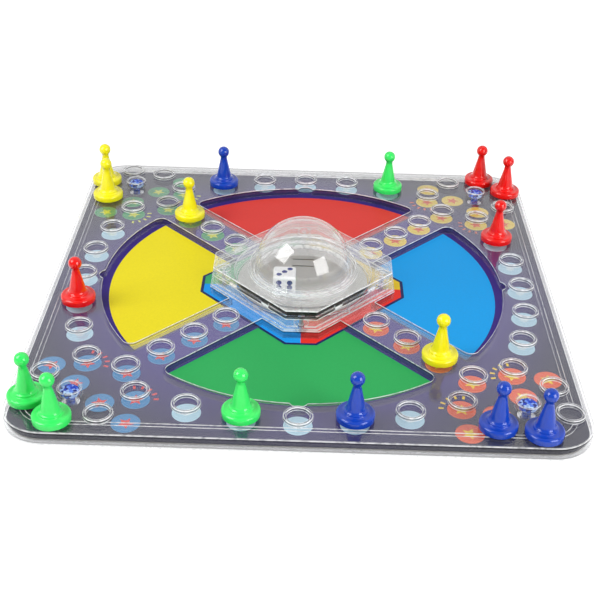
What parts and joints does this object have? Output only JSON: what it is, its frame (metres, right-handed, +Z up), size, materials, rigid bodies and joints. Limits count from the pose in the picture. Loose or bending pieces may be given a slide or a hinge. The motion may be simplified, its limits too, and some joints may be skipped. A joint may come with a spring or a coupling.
{
  "type": "pop up dice board game",
  "caption": "Square board game with a clear ring cup cover over a printed card, a press down dice dome in its middle and cone pawns that cap the ring cups.",
  "frame": {"origin": "middle of the underside, on the table", "axes": "+Z up, -Y towards the player at the front side, +X to that player's right"},
  "size_m": [0.2666, 0.2666, 0.0424],
  "materials": {
    "clear_tray": "clear moulded plastic",
    "printed_card": "coated wood pulp card, printed",
    "clear_cover": "clear moulded plastic",
    "blue_rivet": "glossy blue plastic",
    "clear_housing": "clear moulded plastic",
    "clear_dome": "clear moulded plastic",
    "plate_steel": "rolled spring steel",
    "spring_steel": "drawn wire",
    "screw_steel": "zinc plated",
    "die_white": "glossy white with blue pips",
    "pawn_green": "glossy moulded plastic",
    "pawn_blue": "glossy moulded plastic",
    "pawn_yellow": "glossy moulded plastic",
    "pawn_red": "glossy moulded plastic"
  },
  "bodies": {
    "board": {"base_tray": "clear_tray", "printed_card": "printed_card", "board_cover": "clear_cover", "corner_rivets": "blue_rivet", "housing_base": "clear_housing", "housing_frame": "clear_housing", "housing_screws": "screw_steel", "return_springs": "spring_steel"},
    "popper": {"popper_dome": "clear_dome", "clicker_plate": "plate_steel"},
    "loose_die": {"die": "die_white"},
    "pawn_green_1_piece": {"pawn_green_1": "pawn_green"},
    "pawn_green_2_piece": {"pawn_green_2": "pawn_green"},
    "pawn_green_3_piece": {"pawn_green_3": "pawn_green"},
    "pawn_green_4_piece": {"pawn_green_4": "pawn_green"},
    "pawn_blue_1_piece": {"pawn_blue_1": "pawn_blue"},
    "pawn_blue_2_piece": {"pawn_blue_2": "pawn_blue"},
    "pawn_blue_3_piece": {"pawn_blue_3": "pawn_blue"},
    "pawn_blue_4_piece": {"pawn_blue_4": "pawn_blue"},
    "pawn_yellow_1_piece": {"pawn_yellow_1": "pawn_yellow"},
    "pawn_yellow_2_piece": {"pawn_yellow_2": "pawn_yellow"},
    "pawn_yellow_3_piece": {"pawn_yellow_3": "pawn_yellow"},
    "pawn_yellow_4_piece": {"pawn_yellow_4": "pawn_yellow"},
    "pawn_red_1_piece": {"pawn_red_1": "pawn_red"},
    "pawn_red_2_piece": {"pawn_red_2": "pawn_red"},
    "pawn_red_3_piece": {"pawn_red_3": "pawn_red"},
    "pawn_red_4_piece": {"pawn_red_4": "pawn_red"}
  },
  "joints": [
    {"name": "dome_press", "type": "slide", "parent": "board", "child": "popper", "axis": [0, 0, 1], "range_m": [-0.003, 0], "stiffness_N_per_m": 800, "springref_m": 0.004, "deforming": ["return_springs"]},
    {"name": "die_hop", "type": "slide", "parent": "popper", "child": "loose_die", "axis": [0, 0, 1], "range_m": [0, 0.0045]},
    {"name": "pawn_green_1_lift", "type": "slide", "parent": "board", "child": "pawn_green_1_piece", "axis": [0, 0, 1], "range_m": [0, 0.03]},
    {"name": "pawn_green_2_lift", "type": "slide", "parent": "board", "child": "pawn_green_2_piece", "axis": [0, 0, 1], "range_m": [0, 0.03]},
    {"name": "pawn_green_3_lift", "type": "slide", "parent": "board", "child": "pawn_green_3_piece", "axis": [0, 0, 1], "range_m": [0, 0.03]},
    {"name": "pawn_green_4_lift", "type": "slide", "parent": "board", "child": "pawn_green_4_piece", "axis": [0, 0, 1], "range_m": [0, 0.03]},
    {"name": "pawn_blue_1_lift", "type": "slide", "parent": "board", "child": "pawn_blue_1_piece", "axis": [0, 0, 1], "range_m": [0, 0.03]},
    {"name": "pawn_blue_2_lift", "type": "slide", "parent": "board", "child": "pawn_blue_2_piece", "axis": [0, 0, 1], "range_m": [0, 0.03]},
    {"name": "pawn_blue_3_lift", "type": "slide", "parent": "board", "child": "pawn_blue_3_piece", "axis": [0, 0, 1], "range_m": [0, 0.03]},
    {"name": "pawn_blue_4_lift", "type": "slide", "parent": "board", "child": "pawn_blue_4_piece", "axis": [0, 0, 1], "range_m": [0, 0.03]},
    {"name": "pawn_yellow_1_lift", "type": "slide", "parent": "board", "child": "pawn_yellow_1_piece", "axis": [0, 0, 1], "range_m": [0, 0.03]},
    {"name": "pawn_yellow_2_lift", "type": "slide", "parent": "board", "child": "pawn_yellow_2_piece", "axis": [0, 0, 1], "range_m": [0, 0.03]},
    {"name": "pawn_yellow_3_lift", "type": "slide", "parent": "board", "child": "pawn_yellow_3_piece", "axis": [0, 0, 1], "range_m": [0, 0.03]},
    {"name": "pawn_yellow_4_lift", "type": "slide", "parent": "board", "child": "pawn_yellow_4_piece", "axis": [0, 0, 1], "range_m": [0, 0.03]},
    {"name": "pawn_red_1_lift", "type": "slide", "parent": "board", "child": "pawn_red_1_piece", "axis": [0, 0, 1], "range_m": [0, 0.03]},
    {"name": "pawn_red_2_lift", "type": "slide", "parent": "board", "child": "pawn_red_2_piece", "axis": [0, 0, 1], "range_m": [0, 0.03]},
    {"name": "pawn_red_3_lift", "type": "slide", "parent": "board", "child": "pawn_red_3_piece", "axis": [0, 0, 1], "range_m": [0, 0.03]},
    {"name": "pawn_red_4_lift", "type": "slide", "parent": "board", "child": "pawn_red_4_piece", "axis": [0, 0, 1], "range_m": [0, 0.03]}
  ]
}
